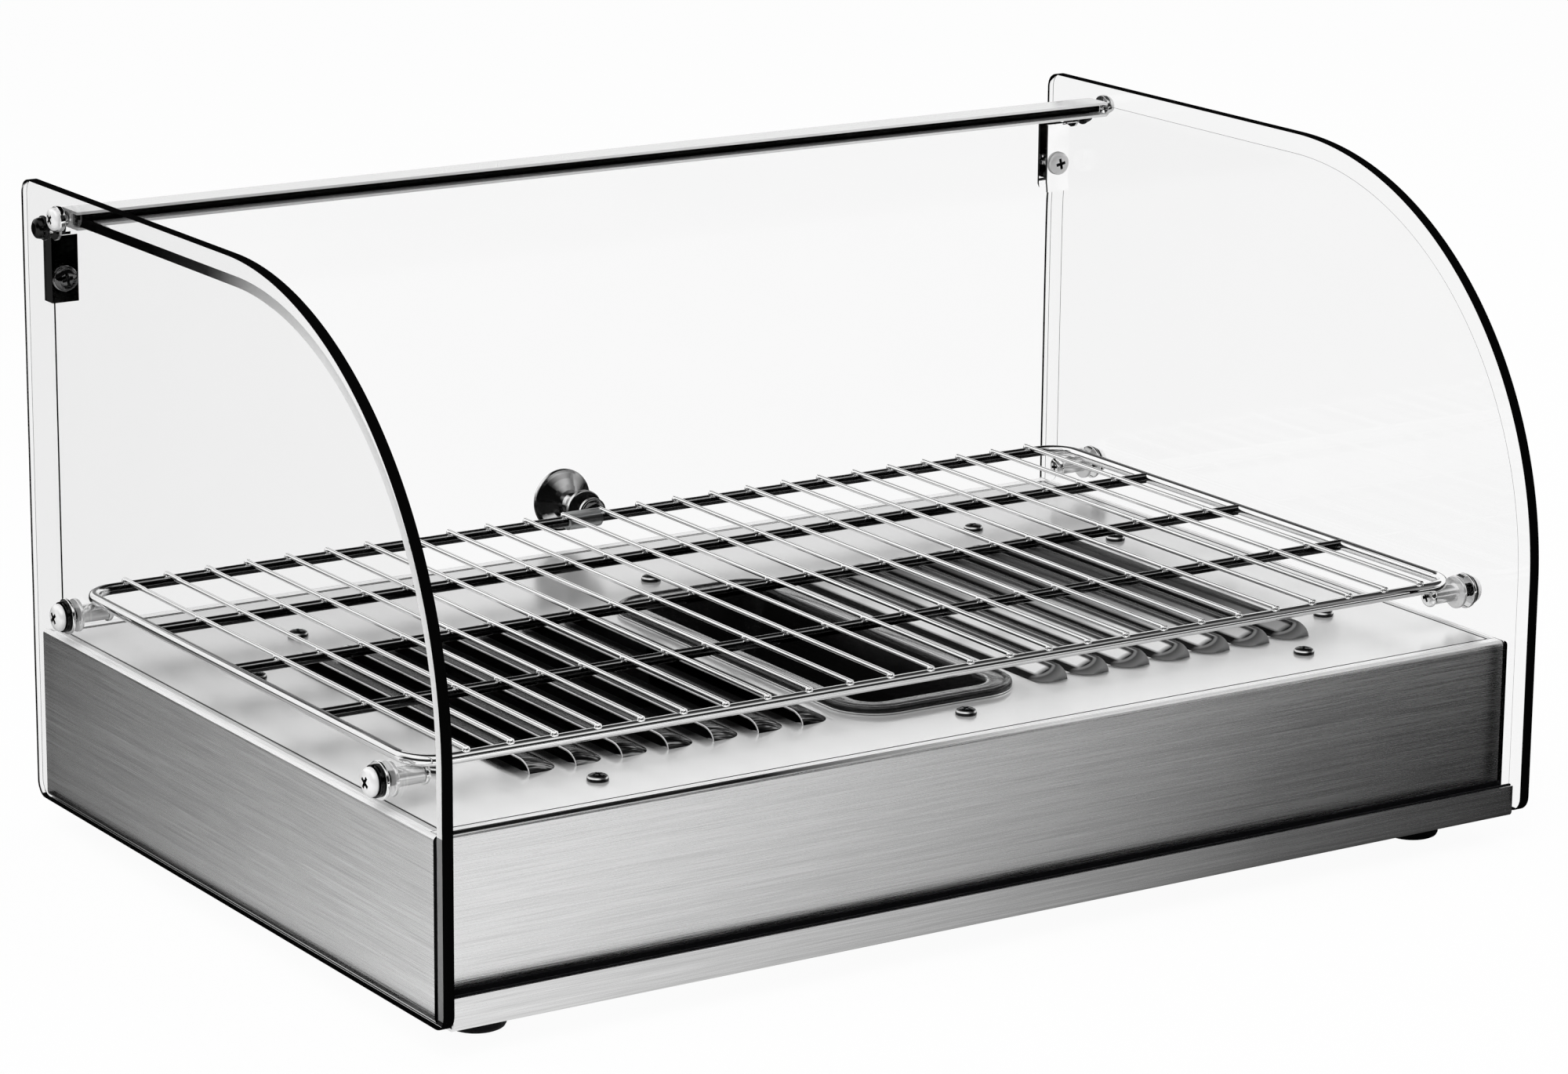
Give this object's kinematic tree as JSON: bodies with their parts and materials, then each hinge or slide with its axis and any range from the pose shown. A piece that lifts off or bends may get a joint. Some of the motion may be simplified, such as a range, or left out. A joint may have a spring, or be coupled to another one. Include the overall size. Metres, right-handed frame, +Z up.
{
  "type": "heated display case",
  "caption": "Counter-top heated display case: steel heater base with louvred plate and water pan, bent glass front, flat glass sides, hinged rear glass door and lift-off wire rack.",
  "frame": {"origin": "centre of the bounding box, on the table under the rubber feet", "axes": "+X to the right as seen from the bent glass, +Y to the rear door, +Z up"},
  "size_m": [0.569, 0.3814, 0.2945],
  "materials": {
    "base_steel": "brushed, grain along each panel",
    "plate_steel": "satin",
    "black_rubber": "dull",
    "clear_glass": "clear with ground edges",
    "bright_metal": "polished",
    "clear_sleeve": "clear, smooth",
    "element_sheath": "dark, dull",
    "black_plastic": "matt",
    "white_insulator": "smooth",
    "lamp_red": "clear red"
  },
  "bodies": {
    "case": {"bottom_tray": "base_steel", "side_panel_left": "base_steel", "side_panel_right": "base_steel", "front_fascia": "base_steel", "rear_panel": "base_steel", "top_plate": "plate_steel", "gutter_strip": "black_rubber", "side_glass_left": "clear_glass", "side_glass_right": "clear_glass", "front_glass": "clear_glass", "top_rail": "plate_steel", "support_front": "base_steel", "support_rear": "base_steel", "heat_shield": "plate_steel", "element_saddle_left": "plate_steel", "element_saddle_right": "plate_steel", "thermostat_bulb": "plate_steel", "foot_front_left": "black_rubber", "foot_front_right": "black_rubber", "foot_rear_left": "black_rubber", "foot_rear_right": "black_rubber", "rail_screw_left": "bright_metal", "rail_screw_right": "bright_metal", "hinge_pin_left": "bright_metal", "hinge_pin_right": "bright_metal", "standoff_front_left": "bright_metal", "standoff_front_right": "bright_metal", "standoff_washer_front_left": "bright_metal", "standoff_washer_front_right": "bright_metal", "standoff_bolt_front_left": "bright_metal", "standoff_bolt_front_right": "bright_metal", "standoff_cap_front_left": "bright_metal", "standoff_cap_front_right": "bright_metal", "standoff_rear_left": "bright_metal", "standoff_rear_right": "bright_metal", "standoff_washer_rear_left": "bright_metal", "standoff_washer_rear_right": "bright_metal", "standoff_bolt_rear_left": "bright_metal", "standoff_bolt_rear_right": "bright_metal", "standoff_cap_rear_left": "bright_metal", "standoff_cap_rear_right": "bright_metal", "heating_element_left": "element_sheath", "heating_element_right": "element_sheath", "switch_body": "black_plastic", "cable_gland": "black_plastic", "thermostat_body": "white_insulator", "terminal_block": "white_insulator", "pilot_lamp": "lamp_red"},
    "rear_door": {"rear_door_glass": "clear_glass", "hinge_clip_left": "bright_metal", "hinge_clip_right": "bright_metal", "hinge_clip_screw_left": "bright_metal", "hinge_clip_screw_right": "bright_metal", "door_knob": "bright_metal", "door_knob_screw": "bright_metal"},
    "wire_rack": {"wire_rack": "bright_metal", "rack_sleeve": "clear_sleeve"},
    "water_pan": {"water_pan": "plate_steel"},
    "thermostat_dial": {"thermostat_dial": "black_plastic"},
    "switch_rocker": {"switch_rocker": "black_plastic"}
  },
  "joints": [
    {"name": "rear_door_hinge", "type": "hinge", "parent": "case", "child": "rear_door", "pos_m": [0, 0.15575, 0.2762], "axis": [1, 0, 0], "range_deg": [0, 175]},
    {"name": "rack_lift", "type": "slide", "parent": "case", "child": "wire_rack", "axis": [0, 0, 1], "range_m": [0, 0.06]},
    {"name": "pan_lift", "type": "slide", "parent": "case", "child": "water_pan", "axis": [0, 0, 1], "range_m": [0, 0.012]},
    {"name": "dial_turn", "type": "hinge", "parent": "case", "child": "thermostat_dial", "pos_m": [-0.09, 0.17535, 0.052], "axis": [0, -1, 0], "range_deg": [0, 270]},
    {"name": "switch_rock", "type": "hinge", "parent": "case", "child": "switch_rocker", "pos_m": [-0.15, 0.17565, 0.052], "axis": [1, 0, 0], "range_deg": [0, 12]}
  ]
}
